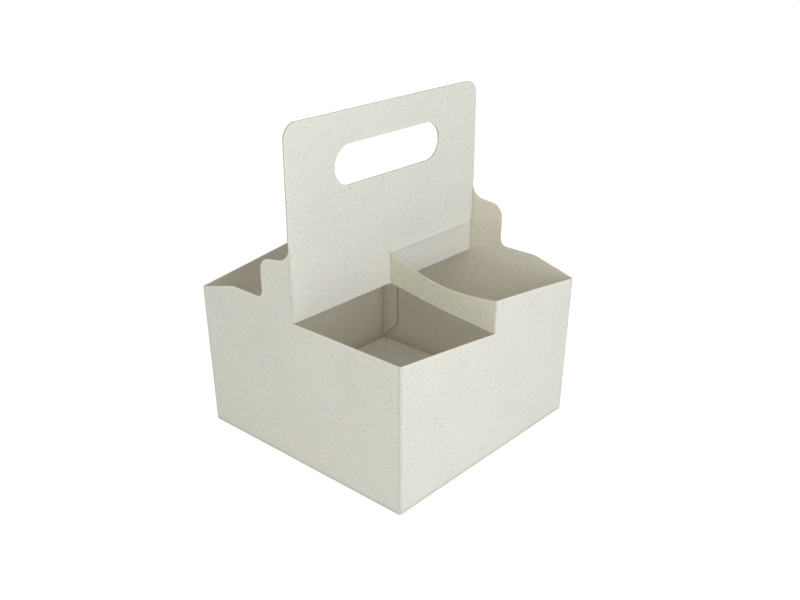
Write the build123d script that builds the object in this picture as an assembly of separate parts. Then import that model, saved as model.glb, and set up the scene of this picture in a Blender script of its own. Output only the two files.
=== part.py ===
from build123d import *
import os

# A four-cup carrier folded and glued from one die-cut blank of recycled board.
# Four walls stand on a self-locking floor. Two plies glued face to face make the
# upright handle panel across the middle. A divider strip is cut from the foot of
# each ply and turned out to the middle of a wall, so there are four cells.
#
# Frame: origin at the centre of the base, +Z up, the handle panel in the XZ plane.
# Half a turn about Z brings the carrier onto itself, apart from its glue flap.
# All sizes are in millimetres.

# Board and walls
board = 0.6            # thickness of one ply
rim_width = 200.0      # across the walls outside, at rim height
rim_height = 115.0     # top of the walls at their corners
rim_dip = 0.5          # how far the level half of a side wall drops to the handle panel
wall_lean = 2.0        # how far each wall leans out between the base and the rim
fold_radius = 1.0      # outside radius of the upright folds

# Step in the middle of the front and back walls
step_drop = 12.5       # low side, below the rim
step_rise = 13.0       # high side, above the rim

# Shoulder and ear of the side walls, heights above the rim, widths from the panel
shoulder_rise = 10.0
shoulder_width = 64.0
shoulder_radius = 20.0
ear_width = 31.0
ear_rise_out = 42.5
ear_rise_in = 46.0
ear_corner = 11.0
ear_root_rise = 59.0   # where the ear leaves the panel's side edge
root_radius = 12.0
notch_radius = 6.0

# Handle panel
handle_height = 140.0
handle_corner = 11.0
slot_length = 111.0
slot_height = 29.2
slot_drop = 38.3       # middle of the hand slot, below the panel's top

# Divider strips
window_height = 25.0   # of the opening that a strip leaves in its ply
strip_sag = 6.7        # how far the strip's upper edge dips below a straight line

# Glue flap inside one side wall
flap_width = 19.0
flap_foot = 5.0
flap_foot_taper = 18.0
flap_head_gap = 7.0    # below the rim
flap_head_taper = 6.0

# Self-locking floor
floor_rise = 5.0       # how far the floor stands above the base
floor_slope = 11.0     # how far in from the walls the rise ends
side_flap_reach = 52.0
side_flap_corner = 4.0
tongue_gap = 4.0       # between a locking tongue and the side flap beside it
tongue_start = 2.0     # from the middle of the floor
tongue_end = 14.0
tongue_corner = 5.0
seam_width = 0.6
seam_depth = 0.3

# Worked out from these
half_rim = rim_width / 2
half_base = half_rim - wall_lean
step_foot = rim_height - step_drop
step_head = rim_height + step_rise
ear_root = rim_height + ear_root_rise
handle_foot = rim_height - rim_dip
handle_top = handle_foot + handle_height
window_top = handle_foot + window_height
clear = 60.0           # how far a cutting shape runs past what it cuts


def half_width(height, inset=0.0):
    """Half of the carrier's width at a height, inset from the outside faces."""
    return half_rim + wall_lean * (height - rim_height) / rim_height - inset


def lifted(shape, height):
    """A shape moved up."""
    return Pos(0, 0, height) * shape


def upright(face, depth):
    """A face drawn in X and height, stood up at Y = 0 and given a depth each way."""
    return extrude(Plane.XZ * face, depth, both=True)


def outline(corners):
    """A face from its corners, each an X, a Y and a corner radius."""
    face = make_face(Polyline(*[(x, y) for x, y, _ in corners], close=True))
    for x, y, radius in corners:
        if radius:
            corner = face.vertices().sort_by_distance((x, y, 0))[0]
            face = fillet(corner, radius)
    return face


def core(inset, height):
    """The leaning square block at an inset from the walls' faces, from the base up."""
    radius = max(fold_radius - inset, board / 3)
    foot_side = 2 * half_width(0, inset)
    head_side = 2 * half_width(height, inset)
    foot = RectangleRounded(foot_side, foot_side, radius)
    head = RectangleRounded(head_side, head_side, radius)
    return loft([foot, lifted(head, height)])


def over_front_wall():
    """What is open above the front wall: two slopes with a step in the middle."""
    fall = step_drop / half_rim
    rise = step_rise / half_rim
    reach = half_rim + clear
    top = handle_top + clear
    return outline([
        (-reach, step_foot + fall * reach, 0),
        (0, step_foot, 0),
        (0, step_head, 0),
        (reach, step_head - rise * reach, 0),
        (reach, top, 0),
        (-reach, top, 0),
    ])


def over_side_wall():
    """What is open above a side wall: over the ear, and over the plain half."""
    shoulder = rim_height + shoulder_rise
    slope = shoulder_rise / (half_rim - shoulder_width)
    reach = half_rim + clear
    top = handle_top + clear
    over_ear = outline([
        (-reach, shoulder - slope * (reach - shoulder_width), 0),
        (-shoulder_width, shoulder, shoulder_radius),
        (-ear_width, shoulder, notch_radius),
        (-ear_width, rim_height + ear_rise_out, ear_corner),
        (0, rim_height + ear_rise_in, root_radius),
        (0, top, 0),
        (-reach, top, 0),
    ])
    over_plain_half = outline([
        (0, handle_foot, 0),
        (half_rim / 2, handle_foot, 0),
        (half_rim, rim_height, 0),
        (reach, rim_height, 0),
        (reach, top, 0),
        (0, top, 0),
    ])
    return over_ear + over_plain_half


def walls():
    """Four walls, cut to their outlines."""
    sleeve = core(0, ear_root) - core(board, ear_root)
    outside = half_width(ear_root) + board
    inside = half_width(step_foot, board) - board
    for turn, face in ((0, over_front_wall()), (90, over_side_wall())):
        cut = Pos(0, -(outside + inside) / 2, 0) * upright(face, (outside - inside) / 2)
        sleeve -= Rot(0, 0, turn) * cut
        sleeve -= Rot(0, 0, turn + 180) * cut
    return sleeve


def handle_ply():
    """The front ply: the whole panel, less the hand slot and its divider's window."""
    edge = half_width(ear_root)
    foot_edge = half_width(handle_foot)
    panel = outline([
        (-foot_edge, handle_foot, 0),
        (foot_edge, handle_foot, 0),
        (edge, ear_root, 0),
        (edge, handle_top, handle_corner),
        (-edge, handle_top, handle_corner),
        (-edge, ear_root, 0),
    ])
    window = Rectangle(half_rim + clear, window_height, align=(Align.MIN, Align.MIN))
    slot = Pos(0, handle_top - slot_drop) * SlotOverall(slot_length, slot_height)
    ply = panel - Pos(0, handle_foot) * window - slot
    return Pos(0, -board / 2, 0) * upright(ply, board / 2)


def divider():
    """The front divider strip, from the handle panel to the step in the front wall."""
    reach = half_rim - board / 2
    inner_head = (0, window_top)
    outer_head = (reach, step_head)
    sag_point = (reach / 2, (window_top + step_head) / 2 - strip_sag)
    head = ThreePointArc(inner_head, sag_point, outer_head)
    rest = Polyline(outer_head, (reach, step_foot), (0, handle_foot), inner_head)
    strip = upright(make_face([head, rest]), board / 2)
    return Pos(board / 2, 0, 0) * Rot(0, 0, -90) * strip


def glue_flap():
    """The flap of the back wall that is glued inside a side wall."""
    head = rim_height - flap_head_gap
    edge = half_base - flap_width
    reach = half_rim + clear
    face = outline([
        (edge, flap_foot + flap_foot_taper, 0),
        (reach, flap_foot + flap_foot_taper - (reach - edge), 0),
        (reach, head, 0),
        (edge + flap_head_taper, head, 0),
        (edge, head - flap_head_taper, 0),
    ])
    lining = core(board, head) - core(2 * board, head)
    inside = half_width(0, 2 * board)
    return lining & Rot(0, 0, 90) * Pos(0, -inside - flap_width, 0) * upright(face, flap_width)


def mound(lift):
    """The space under a floor layer: flat-topped, with sloping sides."""
    foot_side = 2 * half_width(0, board / 2)
    head_side = foot_side - 2 * floor_slope
    foot = Rectangle(foot_side, foot_side)
    head = Rectangle(head_side, head_side)
    space = loft([lifted(foot, lift), lifted(head, lift + floor_rise)])
    return space + extrude(foot, lift) if lift else space


def side_flap():
    """The outline of one side flap from above, mitred at both corners."""
    inner = half_base - side_flap_reach
    return outline([
        (half_base, -half_base, 0),
        (half_base, half_base, 0),
        (inner, inner, side_flap_corner),
        (inner, -inner, side_flap_corner),
    ])


def tongue():
    """The outline of one locking tongue from above."""
    length = half_base - side_flap_reach - tongue_gap
    return outline([
        (0, tongue_start, 0),
        (-length, tongue_start, 0),
        (-length, tongue_end, tongue_corner),
        (0, tongue_end, 0),
    ])


def seam():
    """The outline of the groove underneath, where the floor's two large flaps meet."""
    length = half_base - floor_slope
    run = Pos(-length / 2, tongue_start) * Rectangle(length, seam_width)
    jog = Rectangle(seam_width, 2 * tongue_start + seam_width)
    return jog + run + Rot(0, 0, 180) * run


def floor():
    """Two large flaps that meet in the middle, under two side flaps and two tongues."""
    lower = mound(board) - mound(0) - lifted(extrude(seam(), seam_depth), floor_rise)
    upper = mound(2 * board) - mound(board)
    flaps = side_flap() + tongue()
    flaps += Rot(0, 0, 180) * flaps
    return lower + (upper & extrude(flaps, clear))


def carrier():
    """The whole carrier, which is one piece."""
    half = handle_ply() + divider()
    body = walls() + floor() + glue_flap()
    return body + half + Rot(0, 0, 180) * half


os.makedirs("parts", exist_ok=True)
export_step(carrier(), "parts/carrier.step")
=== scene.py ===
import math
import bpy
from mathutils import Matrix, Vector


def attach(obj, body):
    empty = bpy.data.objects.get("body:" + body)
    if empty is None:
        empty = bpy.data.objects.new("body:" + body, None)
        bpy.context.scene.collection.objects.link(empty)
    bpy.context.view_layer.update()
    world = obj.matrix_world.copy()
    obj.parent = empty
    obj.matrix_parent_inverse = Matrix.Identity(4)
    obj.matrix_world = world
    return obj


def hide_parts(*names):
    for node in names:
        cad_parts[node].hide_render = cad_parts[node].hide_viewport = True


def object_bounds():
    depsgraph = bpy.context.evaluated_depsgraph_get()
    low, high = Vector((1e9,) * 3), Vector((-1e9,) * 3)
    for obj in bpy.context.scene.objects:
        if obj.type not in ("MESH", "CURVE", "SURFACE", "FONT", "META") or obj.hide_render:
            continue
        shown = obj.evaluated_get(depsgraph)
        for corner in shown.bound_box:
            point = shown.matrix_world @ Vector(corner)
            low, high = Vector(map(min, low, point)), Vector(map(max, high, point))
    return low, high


bl_info = {
    "name": "Cup Carrier",
    "version": (1, 0, 0),
    "blender": (4, 5, 0),
    "location": "View3D > Sidebar > Carrier",
    "description": "Builds a folded recycled-board carrier for four cups on its packed frame",
    "category": "Add Mesh",
}

import bmesh
import bpy
import numpy as np
from bpy.props import FloatProperty, FloatVectorProperty, IntProperty, PointerProperty
from mathutils import Matrix, Vector, noise
from mathutils.geometry import delaunay_2d_cdt

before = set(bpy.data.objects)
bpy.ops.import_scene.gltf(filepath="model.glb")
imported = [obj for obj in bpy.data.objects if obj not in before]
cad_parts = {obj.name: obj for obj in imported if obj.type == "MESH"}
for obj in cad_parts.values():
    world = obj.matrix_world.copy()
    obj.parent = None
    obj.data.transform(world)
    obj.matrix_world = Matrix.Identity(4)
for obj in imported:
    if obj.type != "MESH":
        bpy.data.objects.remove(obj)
CAD_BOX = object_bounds()

MM = 0.001
NODE = "carrier"
BODY = "root"
UV_NAME = "blank"
# weight near a fold; it greys the fold for crush wear and for painted shade in the crease
FOLD_WEAR_SHADE_NAME = "fold"
RIM_NAME = "rim"
HALF = 0.1  # nominal half of a wall in the flat blank
SIDES = 3
# slots of the divider strips, whose darker colour is painted shade
SHADED_STRIP_SLOT = SIDES
PLY_SLOT = 2 * SIDES
NEARLY = 1e-7
SAME_POINT = 0.012 * MM
TOO_CLOSE = 0.12 * MM  # between a point inside a panel and its outline
EDGE_SHARE = 0.55  # the same for the wide mesh, as a share of its step
COLUMN_REACH = 3.4  # room for the close mesh beside a fold, in fold radii
ROW_REACH = 1.2 * MM  # the same beside the base fold
FOLD_REACH = 1.6  # how far a fold's wear and painted crease shade fade out, in fold radii
RIM_REACH = 2.2 * MM  # how far a cut rim's wear fades out
SETTLED = 60 * MM  # height at which the base fold no longer draws the walls down
PER_MM = (1000, 1000, 1000)  # noise scales are given in cycles per millimetre


# ---------------------------------------------------------------- sizes and colours


def length(name, description, millimetres):
    """A length whose default is given in millimetres."""
    return FloatProperty(
        name=name,
        description=description,
        default=millimetres * MM,
        precision=5,
        unit="LENGTH",
    )


def colour(name, description, default):
    """A colour."""
    return FloatVectorProperty(
        name=name,
        description=description,
        default=default,
        min=0.0,
        max=1.0,
        subtype="COLOR",
    )


def spot(name, description, default):
    """A place in the room."""
    return FloatVectorProperty(
        name=name,
        description=description,
        default=default,
        precision=5,
        subtype="TRANSLATION",
        unit="LENGTH",
    )


def power(name, description, default):
    """A lamp's power."""
    return FloatProperty(name=name, description=description, default=default, unit="POWER")


def share(name, description, default):
    """A factor without a unit."""
    return FloatProperty(name=name, description=description, default=default, subtype="FACTOR")


class CarrierSizes(bpy.types.PropertyGroup):
    """Sizes of the folded sheet."""

    board: length("Board", "Thickness of one ply", 0.6)
    ply_gap: length("Ply gap", "Room between two plies that lie face to face", 0.04)
    rim_width: length("Rim width", "Across the walls outside, at rim height", 200)
    rim_height: length("Rim height", "Top of the walls at their corners", 115)
    rim_dip: length("Rim dip", "How far the level half of a side wall drops", 0.5)
    wall_lean: length("Wall lean", "How far a wall leans out from base to rim", 2)
    fold_radius: length("Fold radius", "Radius of a fold, at the middle of the board", 0.75)
    tip_run: length("Tip run", "How far a fold takes to open up from the end of a slit", 4)
    step_drop: length("Step drop", "Low side of the step, below the rim", 12.5)
    step_rise: length("Step rise", "High side of the step, above the rim", 13)
    shoulder_rise: length("Shoulder rise", "Shoulder above the rim", 10)
    shoulder_width: length("Shoulder width", "Shoulder's end from the panel", 64)
    shoulder_radius: length("Shoulder radius", "Bend at the shoulder's end", 20)
    ear_width: length("Ear width", "Ear's outer edge from the panel", 31)
    ear_rise_out: length("Ear rise outside", "Ear's outer corner above the rim", 42.5)
    ear_rise_in: length("Ear rise inside", "Ear's inner end above the rim", 46)
    ear_corner: length("Ear corner", "Radius of the ear's outer corner", 11)
    ear_droop: length("Ear droop", "How far one ear's outer corner has sunk", 2.0)
    root_radius: length("Root radius", "Where the ear runs up the panel's edge", 12)
    notch_radius: length("Notch radius", "Between shoulder and ear", 6)
    handle_height: length("Handle height", "Panel above the side walls' level half", 139.99)
    handle_corner: length("Handle corner", "Radius of the panel's top corners", 11)
    slot_length: length("Slot length", "Hand slot, end to end", 111)
    slot_height: length("Slot height", "Hand slot, top to bottom", 29.2)
    slot_drop: length("Slot drop", "Middle of the hand slot below the panel's top", 38.3)
    window_height: length("Window height", "Opening that a strip leaves in its ply", 25)
    edge_lift: length("Edge lift", "How far a ply's cut edge stands off over its window", 1.3)
    strip_sag: length("Strip sag", "Dip of the strip's upper edge", 6.7)
    strip_bow: length("Strip bow", "Sideways bow of the strip", 1.6)
    soft_bend: length("Soft bend", "Middle of the ply's soft bend, from the strip's fold", 4)
    soft_pull: length("Soft pull", "How far the strip pulls the ply's foot forward", 1.2)
    flap_width: length("Flap width", "Glue flap across", 19)
    flap_foot: length("Flap foot", "Glue flap's lowest point", 5)
    flap_foot_taper: length("Flap foot taper", "Rise of its foot to the free edge", 18)
    flap_head_gap: length("Flap head gap", "Glue flap's top below the rim", 7)
    flap_head_taper: length("Flap head taper", "Its cut upper corner", 6)
    flap_lift: length("Flap lift", "Glue flap's free edge, off the wall", 1.0)
    joint_reach: length("Joint reach", "Raw edge of the glued wall, past its corner", 0.25)
    floor_rise: length("Floor rise", "Floor above the base", 8.0)
    floor_slope: length("Floor slope", "How far in from the walls the rise ends", 4.8)
    floor_dome: length("Floor dome", "How far the middle of the floor stands up", 1.8)
    floor_side_gap: length("Floor side gap", "Large floor flap, short of the side walls", 2.2)
    side_flap_reach: length("Side flap reach", "Side flap of the floor, inwards", 52)
    side_flap_corner: length("Side flap corner", "Radius of its inner corners", 4)
    side_flap_inset: length("Side flap inset", "Side flap's end, short of the corner", 1.4)
    tongue_reach: length("Tongue reach", "Locking tongue across the seam", 14)
    tongue_length: length("Tongue length", "Locking tongue along the seam", 42)
    tongue_corner: length("Tongue corner", "Radius of the tongue's corner", 5)
    seam_offset: length("Seam offset", "Floor seam from the middle", 2)
    seam_gap: length("Seam gap", "Between the two large floor flaps", 0.6)
    bead_radius: length("Bead radius", "Height of a scored bead above the board", 0.4)
    bead_offset: length("Bead offset", "First bead from its fold", 3.2)
    wall_bow: length("Wall bow", "How far a wall bows in between its folds", 0.7)
    ripple: length("Ripple", "Slow unevenness of the board", 0.22)
    mesh_step: length("Mesh step", "Spacing of the mesh inside a panel", 3.4)
    edge_step: length("Edge step", "Spacing of the mesh along an edge", 1.7)


class BoardFinish(bpy.types.PropertyGroup):
    """Colours of the recycled board."""

    face: colour("Face", "Outer face", (0.740, 0.743, 0.697))
    face_warm: colour("Warm face", "Yellower patches of the outer face", (0.735, 0.722, 0.645))
    liner: colour("Liner", "Inner face", (0.728, 0.703, 0.618))
    liner_warm: colour("Warm liner", "Browner patches of the inner face", (0.71, 0.665, 0.555))
    # the strip's colours are the outer face made darker and yellower: painted shade from the cells
    # around it
    strip: colour("Strip", "Divider strips", (0.69, 0.68, 0.578))
    strip_warm_shaded: colour("Warm strip", "Browner patches of the strips", (0.64, 0.615, 0.49))
    # this grey is partly crush wear and partly painted shade in the creases
    crushed_and_shaded: colour("Crushed", "Board crushed along a fold", (0.44, 0.42, 0.36))
    edge: colour("Cut edge", "Cut through the board", (0.76, 0.74, 0.66))
    # this dark is the edge's core and also paints the shade along the handle panel's cut edges
    core_and_edge_shade: colour("Core", "Darker core of a cut edge", (0.42, 0.40, 0.34))
    dark_fleck: colour("Dark fleck", "Specks of ink in the pulp", (0.30, 0.29, 0.26))
    light_fleck: colour("Light fleck", "Bleached fibres in the pulp", (0.88, 0.86, 0.76))
    roughness: share("Roughness", "Gloss of the board", 0.88)
    relief: share("Relief", "Strength of the fine surface relief", 0.35)
    rim_wear: share("Rim wear", "How far a cut rim has gone pale", 0.35)
    # the grey along a fold is partly crush wear and partly painted crease shade
    fold_wear_and_shade: share("Fold wear", "How far a fold has gone grey", 0.75)
    fibres: IntProperty(name="Fibres", description="Loose fibres on the faces", default=900)
    fibre_radius: length("Fibre radius", "Half of a fibre's thickness", 0.045)
    fuzz: FloatProperty(name="Fuzz", description="Fibres on cut edges, per area", default=60000)
    seed: IntProperty(name="Seed", description="Seed of what is random", default=7)


class StageSetup(bpy.types.PropertyGroup):
    """Camera, lamps and floor."""

    camera_place: spot("Camera", "Where the camera stands", (-0.50668, -0.46264, 0.39916))
    camera_aim: spot("Aim", "Point that the camera looks at", (0.00524, -0.00587, 0.10003))
    lens: FloatProperty(name="Lens", description="Focal length in millimetres", default=43.81)
    sky: FloatProperty(name="Sky", description="Strength of the even light", default=0.49)
    key: power("Key", "Key lamp's power", 5.7)
    key_place: spot("Key place", "Where the key lamp hangs", (-0.18, -1.15, 0.48))
    key_side: length("Key side", "Side of the key lamp", 800)
    key_tint: colour("Key tint", "Colour of the key lamp", (1, 1, 1))
    fill: power("Fill", "Fill lamp's power", 7.2)
    fill_place: spot("Fill place", "Where the fill lamp hangs", (-1.5, -0.5, 0.8))
    fill_side: length("Fill side", "Side of the fill lamp", 1200)
    fill_tint: colour("Fill tint", "Colour of the fill lamp", (1, 0.98, 0.86))
    lamp_aim: spot("Lamp aim", "Point that both lamps look at", (0, 0, 0.11))
    floor_size: length("Floor size", "Half of the floor's side", 3000)
    floor_tint: colour("Floor", "Paper that the carrier stands on", (0.90, 0.90, 0.88))
    floor_glow: share("Floor glow", "What the camera alone sees added to the floor", 0.6)


# ---------------------------------------------------------------- outlines in the flat blank


def smooth(value):
    """Eased step from 0 to 1."""
    t = min(max(value, 0.0), 1.0)
    return t * t * (3 - 2 * t)


def run_points(start, end, step):
    """Evenly spaced points from start up to but not with end."""
    count = max(1, math.ceil((end - start).length / step - 0.01))
    return [start.lerp(end, i / count) for i in range(count)]


def fillet_points(before, corner, after, radius, step):
    """Points along a rounded corner, from one tangent point to the other."""
    arrive = (before - corner).normalized()
    leave = (after - corner).normalized()
    half = arrive.angle(leave) / 2
    tangent = radius / math.tan(half)
    centre = corner + (arrive + leave).normalized() * (radius / math.sin(half))
    first = corner + arrive * tangent - centre
    turn = math.pi - 2 * half
    if arrive.x * leave.y - arrive.y * leave.x > 0:
        turn = -turn
    count = max(3, math.ceil(abs(turn) * radius / step))
    points = []
    for i in range(count + 1):
        spoke = first.copy()
        spoke.rotate(Matrix.Rotation(turn * i / count, 2))
        points.append(centre + spoke)
    return points


def outline(corners, step, closed=True):
    """Points along a line of corners, each a place along the blank, a height and a radius."""
    places = [Vector((u, z)) for u, z, _ in corners]
    last = len(corners) - 1
    bends = []
    for i, (u, z, radius) in enumerate(corners):
        if radius and (closed or 0 < i < last):
            before = places[i - 1]
            after = places[(i + 1) % len(places)]
            bends.append(fillet_points(before, places[i], after, radius, step / 2))
        else:
            bends.append([places[i]])
    points = []
    for i, bend in enumerate(bends):
        points += bend[:-1]
        if closed or i < last:
            points += run_points(bend[-1], bends[(i + 1) % len(bends)][0], step)
        else:
            points.append(bend[-1])
    kept = [points[0]]
    for point in points[1:]:
        if (point - kept[-1]).length > 1e-6:
            kept.append(point)
    return kept


def inside(points, loops):
    """For each point, whether it lies inside the loops, with holes left out."""
    found = np.zeros(len(points), bool)
    for loop in loops:
        ring = np.array(loop)
        for a, b in zip(ring, np.roll(ring, -1, axis=0)):
            crosses = (a[1] > points[:, 1]) != (b[1] > points[:, 1])
            if a[1] == b[1]:
                continue
            where = a[0] + (points[:, 1] - a[1]) * (b[0] - a[0]) / (b[1] - a[1])
            found ^= crosses & (points[:, 0] < where)
    return found


def edge_distance(points, loops):
    """Each point's distance to the nearest stretch of the outlines."""
    best = np.full(len(points), np.inf)
    for loop in loops:
        ring = np.array(loop)
        for a, b in zip(ring, np.roll(ring, -1, axis=0)):
            run = b - a
            share_along = np.clip((points - a) @ run / (run @ run), 0, 1)
            gaps = np.linalg.norm(points - a - share_along[:, None] * run, axis=1)
            best = np.minimum(best, gaps)
    return best


def lattice(low, high, step):
    """Points of a staggered grid between two corners."""
    row_step = step * math.sqrt(3) / 2
    points = []
    for row in range(math.ceil((high[1] - low[1]) / row_step)):
        shift = step / 2 * (row % 2)
        for column in range(math.ceil((high[0] - low[0]) / step)):
            points.append((low[0] + shift + column * step, low[1] + row * row_step))
    return np.array(points)


def fold_columns(low, high, folds, radius, step):
    """Points beside each upright fold, close enough to round it."""
    points = []
    offsets = [radius * k / 3 for k in range(-3, 4)] + [-2.4 * radius, 2.4 * radius]
    count = math.ceil((high[1] - low[1]) / step)
    for fold in folds:
        for offset in offsets:
            for i in range(1, count):
                points.append((fold + offset, low[1] + i * step))
    return np.array(points).reshape(-1, 2)


def base_rows(low, high, rows, step):
    """Points beside the base fold."""
    count = math.ceil((high[0] - low[0]) / step)
    points = [(low[0] + i * step, row) for row in rows for i in range(1, count)]
    return np.array(points).reshape(-1, 2)


class Sheet:
    """A mesh that grows panel by panel. Panels that share an outline grow together."""

    def __init__(self, sizes):
        self.sizes = sizes
        self.mesh = bmesh.new()
        self.uv = self.mesh.loops.layers.uv.new(UV_NAME)
        self.fold = self.mesh.verts.layers.float.new(FOLD_WEAR_SHADE_NAME)
        self.rim = self.mesh.verts.layers.float.new(RIM_NAME)

    def panel(self, loops, place, creased, folds=(), rows=(), shift=0.0, slot=None):
        """Fills an outline with triangles and puts each point where place says."""
        s = self.sizes
        edge = np.concatenate([np.array(loop) for loop in loops])
        low, high = edge.min(axis=0), edge.max(axis=0)
        radius = s.fold_radius
        columns = fold_columns(low, high, folds, radius, s.edge_step)
        lines = base_rows(low, high, rows, s.edge_step)
        grid = lattice(low, high, s.mesh_step)
        for fold in folds:
            grid = grid[abs(grid[:, 0] - fold) > COLUMN_REACH * radius]
        for row in rows:
            grid = grid[abs(grid[:, 1] - row) > ROW_REACH]
        grid = grid[edge_distance(grid, loops) > s.mesh_step * EDGE_SHARE]
        close = np.concatenate([columns, lines])
        close = close[edge_distance(close, loops) > TOO_CLOSE]
        extra = np.concatenate([grid, close])
        extra = extra[inside(extra, loops)]
        verts = [Vector(p) * 1000 for p in edge] + [Vector(p) * 1000 for p in extra]
        edges = []
        start = 0
        for loop in loops:
            count = len(loop)
            edges += [(start + i, start + (i + 1) % count) for i in range(count)]
            start += count
        flat, _, faces, _, _, _ = delaunay_2d_cdt(verts, edges, [], 0, 1e-4)
        flat = np.array([(v.x, v.y) for v in flat]) / 1000
        middles = np.array([flat[list(face)].mean(axis=0) for face in faces])
        kept = [face for face, keep in zip(faces, inside(middles, loops)) if keep]
        used = sorted({i for face in kept for i in face})
        distance = edge_distance(flat, loops)
        made = {}
        for i in used:
            vert = self.mesh.verts.new(place(flat[i][0], flat[i][1]))
            nearest = min(
                (abs(flat[i][0] - fold) for fold in folds if creased(fold, flat[i][1])),
                default=1.0,
            )
            nearest = min([nearest] + [abs(flat[i][1] - row) for row in rows])
            # the fold weight drives the grey of crush wear and of painted crease shade
            vert[self.fold] = 1 - smooth((nearest - radius) / (FOLD_REACH * radius))
            vert[self.rim] = 1 - smooth(distance[i] / RIM_REACH)
            made[i] = vert
        for face in kept:
            corners = [made[i] for i in face]
            grown = self.mesh.faces.new(corners)
            if slot:
                grown.material_index = slot(*flat[list(face)].mean(axis=0))
            for loop, i in zip(grown.loops, face):
                loop[self.uv].uv = (flat[i][0] + shift, flat[i][1])

    def finish(self, name):
        """Merges the shared outlines and returns the sheet as a mesh."""
        bmesh.ops.remove_doubles(self.mesh, verts=self.mesh.verts, dist=SAME_POINT)
        bmesh.ops.dissolve_degenerate(self.mesh, edges=self.mesh.edges, dist=SAME_POINT / 3)
        mesh = bpy.data.meshes.new(name)
        self.mesh.to_mesh(mesh)
        self.mesh.free()
        return mesh


# ---------------------------------------------------------------- the folded shape


def along(points, stations, bends, u):
    """A place on a line of straight runs, rounded from each bend's first reach to its second."""
    for i in range(1, len(points) - 1):
        first, second = bends[i]
        if first > NEARLY and -first < u - stations[i] < second:
            before, corner, after = points[i - 1 : i + 2]
            enter = corner + (before - corner).normalized() * first
            leave = corner + (after - corner).normalized() * second
            w = (u - stations[i] + first) / (first + second)
            return enter * (1 - w) ** 2 + corner * 2 * w * (1 - w) + leave * w**2
    for i in range(len(points) - 1):
        if u <= stations[i + 1] or i == len(points) - 2:
            share_along = (u - stations[i]) / (stations[i + 1] - stations[i])
            return points[i].lerp(points[i + 1], share_along)


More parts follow.
